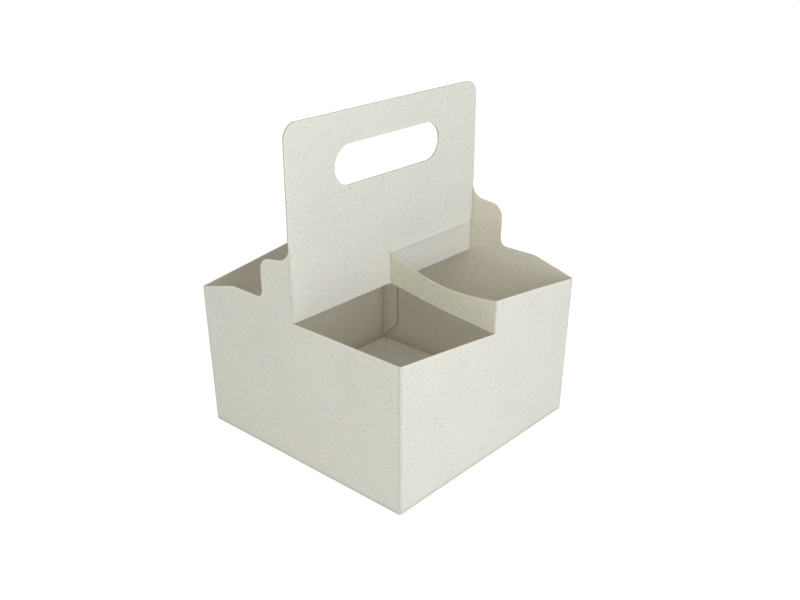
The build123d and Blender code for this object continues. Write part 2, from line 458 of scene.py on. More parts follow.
class Shape:
    """Where a point of the flat blank comes to lie when one half of the carrier is folded."""

    def __init__(self, sizes, turned):
        self.s = sizes
        self.turned = turned
        self.half_rim = sizes.rim_width / 2
        self.level = sizes.rim_height - sizes.rim_dip
        self.window_top = self.level + sizes.window_height
        self.step_foot = sizes.rim_height - sizes.step_drop
        self.step_head = sizes.rim_height + sizes.step_rise
        self.top = self.level + sizes.handle_height
        self.layer = sizes.board + sizes.ply_gap
        self.ply_y = -self.layer / 2
        self.strip_x = sizes.board / 2
        self.foot_turn = math.pi / 2 + math.atan2(sizes.floor_rise, sizes.floor_slope)
        self.foot_run = sizes.fold_radius * math.tan(self.foot_turn / 2)
        self.foot_shift = sizes.board / 2 - (self.foot_run - sizes.fold_radius)
        self.base_half = self.half_rim - sizes.wall_lean - sizes.board / 2
        self.root = self.root_height()

    def root_height(self):
        """Where the ear's upper edge has run into the panel's side edge."""
        s = self.s
        slope = math.atan2(s.ear_rise_in - s.ear_rise_out, s.ear_width)
        half = (math.pi / 2 + slope) / 2
        return s.rim_height + s.ear_rise_in + s.root_radius / math.tan(half)

    def half(self, z):
        """Half of the width between the middles of two opposite walls."""
        s = self.s
        height = min(max(z, 0.0), self.root)
        return self.base_half + s.wall_lean * height / s.rim_height

    def foot(self, z):
        """How far in and how high a point beside the base fold lies."""
        if z >= self.foot_run:
            return 0.0, z + self.foot_shift * (1 - smooth(z / SETTLED))
        radius = self.s.fold_radius
        turn = self.foot_turn * (self.foot_run - z) / (2 * self.foot_run)
        if z >= -self.foot_run:
            inward = radius - radius * math.cos(turn)
            return inward, self.foot_run - radius * math.sin(turn) + self.foot_shift
        start = radius - radius * math.cos(self.foot_turn)
        return start - z - self.foot_run, None

    def ramp(self, inward):
        """Height of the floor at a distance from the nearest wall."""
        s = self.s
        slope = s.floor_rise / s.floor_slope
        blend = 3 * MM
        if inward < s.floor_slope - blend:
            height = slope * inward
        elif inward < s.floor_slope + blend:
            part = inward - s.floor_slope + blend
            height = slope * (inward - part * part / (4 * blend))
        else:
            height = s.floor_rise
        return height + self.foot_shift

    def opening(self, z, start):
        """How far a fold has opened up above the end of its slit."""
        return smooth((z - start) / self.s.tip_run)

    def pull(self, z):
        """How far the strip has pulled the ply forward at their fold, most at its foot."""
        low = min(max((self.window_top - z) / self.s.window_height, 0.0), 1.2)
        return self.s.soft_pull * low**1.4

    def stations(self):
        """Places along the blank where walls meet or turn."""
        return [-HALF, 0, HALF, 2 * HALF, 3 * HALF, 4 * HALF, 5 * HALF]

    def low_route(self, half):
        """The walls' course below the slits."""
        points = [
            Vector((-self.strip_x, half)),
            Vector((-half, half)),
            Vector((-half, self.ply_y)),
            Vector((-half, -half)),
            Vector((self.strip_x, -half)),
            Vector((half, -half)),
            Vector((half, -self.ply_y)),
        ]
        flat = (0, 0)
        fold = (self.s.fold_radius, self.s.fold_radius)
        return points, self.stations(), [flat, fold, flat, fold, flat, fold, flat]

    def high_route(self, half, z):
        """The course above the slits: wall, panel, strip and wall."""
        points = [
            Vector((-self.strip_x, half)),
            Vector((-half, half)),
            Vector((-half, self.ply_y)),
            Vector((self.strip_x - self.s.soft_bend, self.ply_y)),
            Vector((self.strip_x, self.ply_y - self.pull(z))),
            Vector((self.strip_x, -half)),
            Vector((half, -half)),
            Vector((half, -self.ply_y)),
        ]
        stations = self.stations()
        stations.insert(3, 2 * HALF - self.s.soft_bend)
        radius = self.s.fold_radius
        side = radius * self.opening(z, self.level)
        step = radius * self.opening(z, self.step_foot)
        strip = radius * self.opening(self.window_top, z)
        soft = self.s.soft_bend - radius
        bends = [(0, 0), (radius, radius), (side, side), (soft, soft), (strip, strip)]
        return points, stations, bends + [(step, step), (radius, radius), (0, 0)]

    def wall_creased(self, station, z):
        """Whether the walls are folded at a station, at a height."""
        if station == HALF:
            return z > self.level
        return station != 3 * HALF or z > self.step_foot

    def upper_creased(self, station, z):
        """Whether the ply and strip are folded at a station, at a height."""
        if station == 2 * HALF:
            return z < self.window_top
        return z < self.root

    def upper_slot(self, u, z):
        """The first material slot of the ply, or of its divider strip, whose darker colour is painted
        shade.
        """
        return SHADED_STRIP_SLOT if u > 2 * HALF and z < self.window_top else PLY_SLOT

    def bow(self, u, z):
        """How far a wall stands in from its flat place, nothing at its folds."""
        s = self.s
        across = math.sin(math.pi * (u / HALF)) ** 2
        climb = smooth(z / SETTLED)
        seed = 11.0 if self.turned else 3.0
        wave = noise.noise(Vector((u * 18, z * 18, seed)))
        fine = noise.noise(Vector((u * 55, z * 55, seed + 5)))
        return across * climb * (s.wall_bow * 0.5 + s.ripple * (2 * wave + 0.6 * fine))

    def out(self, x, y, z):
        """A place of this half, turned about Z if it is the second one."""
        sign = -1 if self.turned else 1
        return Vector((x * sign, y * sign, z))

    def wall(self, u, z, lining=0.0):
        """A point of the walls."""
        inward, height = self.foot(z)
        half = self.half(z) - inward
        above = (u <= HALF and z > self.level) or (u >= 3 * HALF and z > self.step_foot)
        if above:
            spot = along(*self.high_route(half, z), u)
        else:
            points, stations, bends = self.low_route(half)
            points[2] += Vector((lining, 0))
            points[3] += Vector((lining, 0))
            spot = along(points, stations, bends, u)
        depth = self.bow(u, z)
        if 0 < u < 2 * HALF:
            spot.x += depth
        elif 2 * HALF < u < 4 * HALF:
            spot.y += depth
        return self.out(spot.x, spot.y, height)

    def panel_warp(self, x, z):
        """How far the handle panel stands forward or back, the same for both plies."""
        s = self.s
        across = math.sin(math.pi * x / self.half_rim) ** 2
        climb = smooth((z - self.level) / (50 * MM))
        wave = noise.noise(Vector((x * 14, z * 14, 21.0)))
        lean = 0.5 * MM * smooth((z - self.window_top) / (110 * MM))
        return across * climb * s.ripple * 2.5 * wave + lean * (x / self.half_rim) * across

    def upper(self, u, z):
        """A point of the panel's ply or of its divider strip."""
        half = self.half(z)
        in_strip = u > 2 * HALF and z < self.window_top - NEARLY
        if u > 2 * HALF and not in_strip:
            butt = 0.55 * MM * (1 - smooth((z - self.root) / (3 * MM)))
            share_along = (u - 2 * HALF) / HALF
            start = Vector((self.strip_x, self.ply_y))
            spot = start.lerp(Vector((half - butt, self.ply_y)), share_along)
            held = smooth(share_along / 0.08) * smooth((1 - share_along) / 0.08)
            spot.y -= held * self.s.edge_lift * smooth(1 - (z - self.window_top) / (8 * MM))
        else:
            spot = along(*self.high_route(half, z), u)
        if in_strip:
            share_along = (u - 2 * HALF) / HALF
            arch = math.sin(math.pi * share_along) ** 2
            wave = noise.noise(Vector((u * 25, z * 25, 31.0)))
            spot.x -= arch * (self.s.strip_bow + self.s.ripple * 2 * wave)
        place = self.out(spot.x, spot.y, z)
        if not in_strip:
            place.y += self.panel_warp(place.x, z)
        return place

    def dome(self, x, y):
        """How far the middle of the floor stands up."""
        reach = self.base_half
        return self.s.floor_dome * (1 - (x / reach) ** 6) * (1 - (y / reach) ** 6)

    def large_flap(self, u, z):
        """A point of the large floor flap under the front wall."""
        inward, height = self.foot(z)
        start = self.foot(0)[0]
        spot = along(*self.low_route(self.base_half - start), u)
        y = -self.base_half + inward
        if height is None:
            side = self.base_half - abs(spot.x)
            height = self.ramp(min(inward, side))
            lift_from = -1.4 * MM
            lift = self.layer * smooth((y - lift_from) / (2.6 * MM))
            if spot.x > -self.s.tongue_length - 4 * MM:
                height += lift
            height += self.dome(spot.x, y)
        return self.out(spot.x, y, height)

    def side_flap(self, u, z):
        """A point of the floor's side flap under a side wall."""
        inward, height = self.foot(z)
        start = self.foot(0)[0]
        spot = along(*self.low_route(self.base_half - start), u)
        x = -self.base_half + inward
        if height is None:
            lift = self.layer * smooth((inward - 1.2 * MM) / (1.8 * MM))
            height = self.ramp(inward) + lift + self.dome(x, spot.y)
        return self.out(x, spot.y, height)

    def station(self, x):
        """Place along the blank of a point of the front wall's foot."""
        reach = self.base_half - self.foot(0)[0]
        if x < self.strip_x:
            return 2 * HALF + HALF * (x + reach) / (self.strip_x + reach)
        return 3 * HALF + HALF * (x - self.strip_x) / (reach - self.strip_x)


def side_profile(shape, step):
    """Upper edge of a side wall from its corner to the panel, over shoulder and ear."""
    s = shape.s
    rim = s.rim_height
    droop = 0.0 if shape.turned else s.ear_droop
    return outline(
        [
            (0, rim, 0),
            (HALF - s.shoulder_width, rim + s.shoulder_rise, s.shoulder_radius),
            (HALF - s.ear_width, rim + s.shoulder_rise, s.notch_radius),
            (HALF - s.ear_width, rim + s.ear_rise_out - droop, s.ear_corner),
            (HALF, rim + s.ear_rise_in, s.root_radius * 0.999),
            (HALF, shape.root, 0),
        ],
        step,
        closed=False,
    )


def wall_panels(sheet, shape, shift):
    """The walls of one half, whole, or open at the glued corner on the second half."""
    s = shape.s
    step = s.edge_step
    rim = s.rim_height
    side_end = 2 * HALF - s.side_flap_inset
    front_start = 2 * HALF + s.floor_side_gap
    front_end = 4 * HALF - s.floor_side_gap
    side_foot = [(s.side_flap_inset, 0, 0), (side_end, 0, 0)]
    front_foot = [(front_start, 0, 0), (front_end, 0, 0), (4 * HALF, 0, 0)]
    front_rim = [(4 * HALF, rim, 0), (3 * HALF, shape.step_head, 0), (3 * HALF, shape.step_foot, 0)]
    side_rim = [(1.5 * HALF, shape.level, 0), (HALF, shape.level, 0)]
    profile = side_profile(shape, step)[::-1]
    rows = [shape.foot_run * k for k in (0.34, 0.67, 1.0)]
    folds = [0, HALF, 2 * HALF, 3 * HALF, 4 * HALF]
    last = outline([(HALF, shape.level, 0), (HALF, shape.root, 0)], step, closed=False)
    if not shape.turned:
        corners = [(0, 0, 0)] + side_foot + [(2 * HALF, 0, 0)] + front_foot
        corners += front_rim + [(2 * HALF, rim, 0)] + side_rim
        loop = outline(corners, step, closed=False)
        loop += last[1:] + profile[1:]
        loop += outline([(0, rim, 0), (0, 0, 0)], step, closed=False)[1:-1]
        sheet.panel([loop], shape.wall, shape.wall_creased, folds, rows, shift)
        return
    raw = 2 * HALF + s.joint_reach
    held = 2 * HALF - 2 * s.fold_radius

    def butted(u, z):
        place = shape.wall(min(u, held), z)
        place.y += max(u - held, 0.0)
        return place

    corners = [(0, 0, 0)] + side_foot + [(raw, 0, 0), (raw, rim, 0)] + side_rim
    loop = outline(corners, step, closed=False) + last[1:] + profile[1:]
    loop += outline([(0, rim, 0), (0, 0, 0)], step, closed=False)[1:-1]
    sheet.panel([loop], butted, shape.wall_creased, folds[:2], rows, shift)
    head = rim - s.flap_head_gap
    free = 2 * HALF - s.flap_width
    corners = [(2 * HALF, 0, 0)] + front_foot + front_rim + [(2 * HALF, rim, 0)]
    corners += [
        (2 * HALF, head, 0),
        (free + s.flap_head_taper, head, 0),
        (free, head - s.flap_head_taper, 0),
        (free, s.flap_foot + s.flap_foot_taper, 0),
        (2 * HALF, s.flap_foot, 0),
    ]
    loop = outline(corners, step)

    def lined(u, z):
        lift = s.flap_lift * smooth((2 * HALF - u) / (0.35 * s.flap_width))
        return shape.wall(u, z, shape.layer + lift if u <= 2 * HALF + s.fold_radius else 0.0)

    sheet.panel([loop], lined, shape.wall_creased, folds[2:], rows, shift)


def upper_panel(sheet, shape, shift):
    """One ply of the handle panel with its hand slot and its divider strip."""
    s = shape.s
    step = s.edge_step
    head = shape.window_top
    strip_start = Vector((2 * HALF, head))
    strip_end = Vector((3 * HALF, shape.step_head))
    count = math.ceil(HALF / step)
    sag = []
    for i in range(1, count):
        spot = strip_end.lerp(strip_start, i / count)
        spot.y -= s.strip_sag * 4 * (i / count) * (1 - i / count)
        sag.append(spot)
    ends = (3 * HALF, HALF)
    foot = [(HALF, shape.level, 0), (2 * HALF, shape.level, 0), (3 * HALF, shape.step_foot, 0)]
    foot += [(3 * HALF, shape.step_head, 0)]
    body = [
        (2 * HALF, head, 0),
        (ends[0], head, 0),
        (ends[0], shape.root, 0),
        (ends[0], shape.top, s.handle_corner),
        (ends[1], shape.top, s.handle_corner),
        (ends[1], shape.root, 0),
        (ends[1], shape.level, 0),
    ]
    loop = outline(foot, step, closed=False)
    loop += sag
    loop += outline(body, step, closed=False)[:-1]
    centre = Vector((2 * HALF, shape.top - s.slot_drop))
    reach = (s.slot_length - s.slot_height) / 2
    radius = s.slot_height / 2
    hole = outline(
        [
            (centre.x - reach - radius, centre.y - radius, radius * 0.999),
            (centre.x + reach + radius, centre.y - radius, radius * 0.999),
            (centre.x + reach + radius, centre.y + radius, radius * 0.999),
            (centre.x - reach - radius, centre.y + radius, radius * 0.999),
        ],
        step,
    )
    folds = [HALF, 2 * HALF, 3 * HALF]
    creased = shape.upper_creased
    sheet.panel([loop, hole], shape.upper, creased, folds, (), shift, shape.upper_slot)


def floor_panels(sheet, shape, shift):
    """The large flap with its tongue, and the side flap, of one half of the floor."""
    s = shape.s
    step = s.edge_step
    rows = [-shape.foot_run * k for k in (0.34, 0.67, 1.0)]
    gap = s.seam_gap / 2
    near = -(shape.base_half - s.seam_offset - gap)
    far = -(shape.base_half + s.seam_offset - gap)
    tip = -(shape.base_half + s.tongue_reach)
    front_start = 2 * HALF + s.floor_side_gap
    front_end = 4 * HALF - s.floor_side_gap
    middle = shape.station(-gap)
    corners = [
        (front_end, 0, 0),
        (front_start, 0, 0),
        (front_start, far, 0),
        (shape.station(-s.tongue_length), far, 0),
        (shape.station(-s.tongue_length), tip, s.tongue_corner),
        (middle, tip, 0),
        (middle, near, 0),
        (front_end, near, 0),
    ]
    sheet.panel([outline(corners, step)], shape.large_flap, shape.wall_creased, (), rows, shift)
    start = s.side_flap_inset
    reach = s.side_flap_reach
    corners = [
        (2 * HALF - start, 0, 0),
        (start, 0, 0),
        (start + reach, -reach, s.side_flap_corner),
        (2 * HALF - start - reach, -reach, s.side_flap_corner),
    ]
    sheet.panel([outline(corners, step)], shape.side_flap, shape.wall_creased, (), rows, shift)


# ---------------------------------------------------------------- nodes and materials


def add(tree, kind, inputs=None, **settings):
    """One node: an input that is a socket is linked, and any other is set."""
    node = tree.nodes.new(kind)
    for name, value in settings.items():
        setattr(node, name, value)
    for key, value in (inputs or {}).items():
        if isinstance(value, bpy.types.NodeSocket):
            tree.links.new(value, node.inputs[key])
        else:
            node.inputs[key].default_value = value
    return node


def calc(tree, operation, first, second=0.0, third=0.0, clamp=False):
    """The result of one Math node."""
    inputs = {0: first, 1: second, 2: third}
    return add(tree, "ShaderNodeMath", inputs, operation=operation, use_clamp=clamp).outputs[0]


def blend(tree, factor, first, second, kind="MIX"):
    """The result of one colour Mix node."""
    inputs = {0: factor, 6: first, 7: second}
    return add(tree, "ShaderNodeMix", inputs, data_type="RGBA", blend_type=kind).outputs[2]


def remap(tree, value, low, high, new_low=0.0, new_high=1.0):
    """A value taken from one range to another and held there."""
    inputs = {0: value, 1: low, 2: high, 3: new_low, 4: new_high}
    node = add(tree, "ShaderNodeMapRange", inputs, interpolation_type="SMOOTHSTEP")
    return node.outputs[0]


def texture(tree, vector, scale, detail=3.0, rough=0.6, distort=0.0):
    """The value of one Noise texture, in cycles per millimetre."""
    inputs = {"Vector": vector, "Scale": scale, "Detail": detail}
    inputs |= {"Roughness": rough, "Distortion": distort}
    return add(tree, "ShaderNodeTexNoise", inputs).outputs["Fac"]


def flecks(tree, vector, scale, size, share_kept, stretch):
    """Sparse specks, 1 inside a speck and 0 elsewhere."""
    stretched = add(tree, "ShaderNodeMapping", {0: vector, 3: stretch}).outputs[0]
    warp = add(tree, "ShaderNodeTexNoise", {"Vector": vector, "Scale": 0.7, "Detail": 2.0})
    shifted = add(
        tree,
        "ShaderNodeVectorMath",
        {0: warp.outputs["Color"], 1: (1.6, 1.6, 1.6), 2: stretched},
        operation="MULTIPLY_ADD",
    ).outputs[0]
    cells = add(tree, "ShaderNodeTexVoronoi", {"Vector": shifted, "Scale": scale})
    near = remap(tree, cells.outputs["Distance"], size, size * 0.35)
    chosen = calc(tree, "LESS_THAN", add(
        tree, "ShaderNodeSeparateColor", {0: cells.outputs["Color"]}
    ).outputs[0], share_kept)
    return calc(tree, "MULTIPLY", near, chosen)


def new_material(name):
    """An empty material and its node tree."""
    material = bpy.data.materials.new(name)
    material.use_nodes = True
    material.node_tree.nodes.clear()
    return material, material.node_tree


def solid_place(tree):
    """The place on the piece, in metres and in millimetres."""
    place = add(tree, "ShaderNodeTexCoord").outputs["Object"]
    return place, add(tree, "ShaderNodeMapping", {0: place, 3: PER_MM}).outputs[0]


def matte(tree, colour_here, rough, height, relief, gloss):
    """Ends a tree in matte board; the relief is a strength and a depth."""
    inputs = {"Strength": relief[0], "Distance": relief[1], "Height": height}
    bump = add(tree, "ShaderNodeBump", inputs).outputs[0]
    inputs = {"Base Color": colour_here, "Roughness": rough, "Normal": bump}
    shader = add(tree, "ShaderNodeBsdfPrincipled", inputs | {"Specular IOR Level": gloss})
    add(tree, "ShaderNodeOutputMaterial", {0: shader.outputs[0]})


def board_material(name, plain, warm, finish, contrast, offset):
    """Pressed recycled board: cloudy, with lying fibres and specks, rims rubbed pale, and folds greyed
    by crush wear and by painted crease shade.
    """
    material, tree = new_material(name)
    flat = add(tree, "ShaderNodeUVMap", uv_map=UV_NAME).outputs[0]
    vector = add(
        tree, "ShaderNodeMapping", {0: flat, 1: (offset, offset, 0), 3: PER_MM}
    ).outputs[0]
    broad = texture(tree, vector, 0.018, 2.0)
    cloud = texture(tree, vector, 0.11, 4.0, 0.65)
    grain = texture(tree, vector, 0.62, 4.0, 0.7)
    mottle = texture(tree, vector, 0.30, 3.0, 0.65, 0.6)
    lying = add(tree, "ShaderNodeMapping", {0: vector, 3: (0.28, 1.7, 1)}).outputs[0]
    fibre = texture(tree, lying, 1.0, 4.0, 0.6, 1.4)
    crossed = add(tree, "ShaderNodeMapping", {0: vector, 2: (0, 0, 0.7), 3: (1.5, 0.3, 1)})
    strand = texture(tree, crossed.outputs[0], 0.8, 3.0, 0.6, 1.8)
    tone = 1.0
    for value, weight in (
        (broad, 0.08),
        (cloud, 0.10),
        (mottle, 0.16),
        (grain, 0.26),
        (fibre, 0.18),
        (strand, 0.12),
    ):
        centred = calc(tree, "SUBTRACT", value, 0.5)
        tone = calc(tree, "MULTIPLY_ADD", centred, weight * contrast, tone)
    patch = remap(tree, cloud, 0.42, 0.75)
    colour_here = blend(tree, patch, (*plain, 1), (*warm, 1))
    grey = add(tree, "ShaderNodeCombineColor", {0: tone, 1: tone, 2: tone}).outputs[0]
    colour_here = blend(tree, 1.0, colour_here, grey, "MULTIPLY")
    for scale, size, kept, stretch, amount, tint in (
        (0.19, 0.20, 0.34, (0.7, 1.7, 1.0), 0.70, finish.light_fleck),
        (0.14, 0.13, 0.30, (1.0, 1.5, 1.0), 0.80, finish.dark_fleck),
        (0.42, 0.20, 0.22, (1.0, 1.3, 1.0), 0.45, finish.dark_fleck),
    ):
        speck = calc(tree, "MULTIPLY", flecks(tree, vector, scale, size, kept, stretch), amount)
        colour_here = blend(tree, speck, colour_here, (*tint, 1))
    ragged = remap(tree, grain, 0.3, 0.7)
    # rims go pale with wear; folds go grey for crush wear and for painted shade in the crease
    for name, amount, tint in (
        (RIM_NAME, finish.rim_wear, finish.light_fleck),
        (FOLD_WEAR_SHADE_NAME, finish.fold_wear_and_shade, finish.crushed_and_shaded),
    ):
        wear_and_fold_shade = add(tree, "ShaderNodeAttribute", attribute_name=name).outputs["Fac"]
        wear_and_fold_shade = calc(tree, "MULTIPLY", calc(tree, "MULTIPLY", wear_and_fold_shade, ragged), amount)
        colour_here = blend(tree, wear_and_fold_shade, colour_here, (*tint, 1))
    rough = remap(tree, cloud, 0.2, 0.8, finish.roughness - 0.08, finish.roughness + 0.06)
    relief = calc(tree, "MULTIPLY_ADD", fibre, 0.6, calc(tree, "MULTIPLY", grain, 0.7))
    relief = calc(tree, "MULTIPLY_ADD", cloud, 0.9, relief)
    matte(tree, colour_here, rough, relief, (finish.relief, 0.12 * MM), 0.25)
    return material


def edge_material(finish):
    """The cut through the board: pale fibres about a darker core, with painted shade on the cut edges
    of the handle panel high up.
    """
    material, tree = new_material("cut_edge")
    place, vector = solid_place(tree)
    torn = texture(tree, vector, 1.3, 4.0, 0.7)
    broad = texture(tree, vector, 0.12, 2.0)
    height = add(tree, "ShaderNodeSeparateXYZ", {0: place}).outputs[2]
    # cut edges above about 17 cm go darker: painted shade along the handle panel's two-ply edges
    painted_edge_shade = remap(tree, height, 0.166, 0.178, 0.0, 0.75)
    factor = remap(tree, torn, 0.50, 0.80, 0.0, 0.6)
    factor = calc(tree, "MAXIMUM", factor, painted_edge_shade)
    colour_here = blend(tree, factor, (*finish.edge, 1), (*finish.core_and_edge_shade, 1))
    colour_here = blend(tree, calc(tree, "MULTIPLY", broad, 0.4), colour_here, (*finish.light_fleck, 1))
    rough = remap(tree, torn, 0.2, 0.8, 0.85, 0.98)
    matte(tree, colour_here, rough, torn, (0.6, 0.1 * MM), 0.2)
    return material


def fibre_material(name, tint, finish):
    """Loose pulp fibres, a little uneven in colour."""
    material, tree = new_material(name)
    _, vector = solid_place(tree)
    uneven = texture(tree, vector, 0.4, 2.0)
    colour_here = blend(tree, uneven, (*tint, 1), (*finish.face, 1))
    matte(tree, colour_here, 0.9, uneven, (0.3, 0.05 * MM), 0.5)
    return material


def input_sockets(tree, sockets):
    """Named inputs of a node tree, each a name, a kind and a default."""
    tree.interface.new_socket("Geometry", in_out="INPUT", socket_type="NodeSocketGeometry")
    for name, kind, default in sockets:
        socket = tree.interface.new_socket(name, in_out="INPUT", socket_type=kind)
        if default is not None:
            socket.default_value = default
    tree.interface.new_socket("Geometry", in_out="OUTPUT", socket_type="NodeSocketGeometry")
    return add(tree, "NodeGroupInput").outputs


def set_inputs(modifier, values):
    """Sets a node modifier's inputs by their names."""
    for item in modifier.node_group.interface.items_tree:
        if item.item_type == "SOCKET" and item.in_out == "INPUT" and item.name in values:
            modifier[item.identifier] = values[item.name]


def swept(tree, course, corners, radius, scale=1.0):
    """A closed rod of a few corners along a curve."""
    circle = {"Resolution": corners, "Radius": radius}
    section = add(tree, "GeometryNodeCurvePrimitiveCircle", circle).outputs[0]
    inputs = {"Curve": course, "Profile Curve": section, "Scale": scale, "Fill Caps": True}
    return add(tree, "GeometryNodeCurveToMesh", inputs).outputs[0]


def finish_tree(tree, geometry, material):
    """Ends a tree with real geometry in its material."""
    real = add(tree, "GeometryNodeRealizeInstances", {0: geometry}).outputs[0]
    inputs = {"Geometry": real, "Material": material}
    painted = add(tree, "GeometryNodeSetMaterial", inputs).outputs[0]
    add(tree, "NodeGroupOutput", {0: painted})


def fibre_tree():
    """Scatters short bent fibres over the faces of one material."""
    tree = bpy.data.node_groups.new("fibres", "GeometryNodeTree")
    given = input_sockets(
        tree,
        [
            ("Surface", "NodeSocketInt", 0),
            ("Density", "NodeSocketFloat", 1000.0),
            ("Length", "NodeSocketFloat", 1.6 * MM),
            ("Radius", "NodeSocketFloat", 0.04 * MM),
            ("Lift", "NodeSocketFloat", 0.1 * MM),
            ("Head room", "NodeSocketFloat", 250 * MM),
            ("Foot room", "NodeSocketFloat", 2 * MM),
            ("Side room", "NodeSocketFloat", 99 * MM),
            ("Side height", "NodeSocketFloat", 100 * MM),
            ("Seed", "NodeSocketInt", 0),
            ("Material", "NodeSocketMaterial", None),
        ],
    )
    index = add(tree, "GeometryNodeInputMaterialIndex").outputs[0]
    side = calc(tree, "MODULO", index, float(SIDES))
    chosen = calc(tree, "COMPARE", side, given["Surface"], 0.5)
    place = add(tree, "GeometryNodeInputPosition").outputs[0]
    split = add(tree, "ShaderNodeSeparateXYZ", {0: place}).outputs
    height = split[2]
    below = calc(tree, "LESS_THAN", height, given["Head room"])
    above = calc(tree, "GREATER_THAN", height, given["Foot room"])
    depth = calc(tree, "ABSOLUTE", split[1])
    reach = calc(tree, "LESS_THAN", depth, given["Side room"])
    low = calc(tree, "LESS_THAN", height, given["Side height"])
    where = calc(tree, "MAXIMUM", reach, low)
    for condition in (chosen, below, above):
        where = calc(tree, "MULTIPLY", where, condition)
    scatter = add(
        tree,
        "GeometryNodeDistributePointsOnFaces",
        {
            "Mesh": given["Geometry"],
            "Selection": where,
            "Density": given["Density"],
            "Seed": given["Seed"],
        },
    )
    half = calc(tree, "MULTIPLY", given["Length"], 0.5)
    back = calc(tree, "MULTIPLY", given["Length"], -0.5)
    bulge = calc(tree, "MULTIPLY", given["Length"], 0.35)
    sunk = calc(tree, "MULTIPLY", given["Radius"], -1.0)
    start = add(tree, "ShaderNodeCombineXYZ", {0: back, 2: sunk}).outputs[0]
    bend = add(tree, "ShaderNodeCombineXYZ", {1: bulge, 2: given["Lift"]}).outputs[0]
    end = add(tree, "ShaderNodeCombineXYZ", {0: half, 2: sunk}).outputs[0]
    course = add(
        tree,
        "GeometryNodeCurveQuadraticBezier",
        {"Resolution": 3, "Start": start, "Middle": bend, "End": end},
    ).outputs[0]
    fibre = swept(tree, course, 3, given["Radius"])
    turn = add(
        tree,
        "FunctionNodeRandomValue",
        {0: (0, 0, 0), 1: (0.3, 0.3, 2 * math.pi), "Seed": given["Seed"]},
        data_type="FLOAT_VECTOR",
    ).outputs[0]
    turned = add(tree, "FunctionNodeEulerToRotation", {0: turn}).outputs[0]
    facing = add(
        tree,
        "FunctionNodeRotateRotation",
        {0: scatter.outputs["Rotation"], 1: turned},
        rotation_space="LOCAL",
    ).outputs[0]
    size = add(
        tree, "FunctionNodeRandomValue", {2: 0.45, 3: 1.5, "Seed": given["Seed"]}
    ).outputs[1]
    placed = add(
        tree,
        "GeometryNodeInstanceOnPoints",
        {
            "Points": scatter.outputs["Points"],
            "Instance": fibre,
            "Rotation": facing,
            "Scale": size,
        },
    ).outputs[0]
    finish_tree(tree, placed, given["Material"])
    return tree


def bead_tree():
    """Runs a thin uneven bead along every line of a wire."""
    tree = bpy.data.node_groups.new("beads", "GeometryNodeTree")
    given = input_sockets(
        tree,
        [
            ("Radius", "NodeSocketFloat", 0.2 * MM),
            ("Spacing", "NodeSocketFloat", 3 * MM),
            ("Unevenness", "NodeSocketFloat", 0.5),
            ("Seed", "NodeSocketFloat", 0.0),
            ("Material", "NodeSocketMaterial", None),
        ],
    )
    line = add(tree, "GeometryNodeMeshToCurve", {"Mesh": given["Geometry"]}).outputs[0]
    even = add(
        tree,
        "GeometryNodeResampleCurve",
        {"Curve": line, "Length": given["Spacing"]},
        mode="LENGTH",
    )
    wave = add(
        tree,
        "ShaderNodeTexNoise",
        {"W": given["Seed"], "Scale": 160.0, "Detail": 2.0},
        noise_dimensions="4D",
    ).outputs[0]
    swell = calc(tree, "MULTIPLY_ADD", calc(tree, "SUBTRACT", wave, 0.5), given["Unevenness"], 1.0)
    bead = swept(tree, even.outputs[0], 6, given["Radius"], swell)
    finish_tree(tree, bead, given["Material"])
    return tree


def settle(piece):
    """Ties a finished piece to the frame."""
    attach(piece, BODY)


def plain_mesh(piece):
    """The evaluated mesh of a piece takes the place of its modifiers."""
    graph = bpy.context.evaluated_depsgraph_get()
    mesh = bpy.data.meshes.new_from_object(piece.evaluated_get(graph))
    piece.modifiers.clear()
    piece.data = mesh
    mesh.name = piece.name
    return mesh


# ---------------------------------------------------------------- operators


class CARRIER_OT_sheet(bpy.types.Operator):
    """Folds the walls, floor, handle panel and strips from one sheet of board"""

    bl_idname = "carrier.sheet"
    bl_label = "Folded sheet"

    def execute(self, context):
        sizes = context.scene.carrier_sizes
        finish = context.scene.carrier_finish
        sheet = Sheet(sizes)
        for turned, shift in ((False, 0.0), (True, 5 * HALF)):
            shape = Shape(sizes, turned)
            wall_panels(sheet, shape, shift)
            upper_panel(sheet, shape, shift)
            floor_panels(sheet, shape, shift)
        piece = bpy.data.objects.new("folded_sheet", sheet.finish("folded_sheet"))
        context.scene.collection.objects.link(piece)
        outer = board_material("board_face", finish.face, finish.face_warm, finish, 1.0, 0)
        liner = board_material("board_liner", finish.liner, finish.liner_warm, finish, 1.2, 0.37)
        # the strip's material is the outer face in darker colours: painted shade
        strip = board_material("board_strip", finish.strip, finish.strip_warm_shaded, finish, 1.3, 0.71)
        edge = edge_material(finish)
        for material in (outer, liner, edge, strip, liner, edge, outer, outer, edge):
            piece.data.materials.append(material)
        solid = piece.modifiers.new("board", "SOLIDIFY")
        solid.thickness = sizes.board
        solid.offset = 0
        solid.material_offset = 1
        solid.material_offset_rim = 2
        mesh = plain_mesh(piece)
        for face in mesh.polygons:
            face.use_smooth = True
        mesh.set_sharp_from_angle(angle=math.radians(42))
        settle(piece)
        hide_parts(NODE)
        return {"FINISHED"}


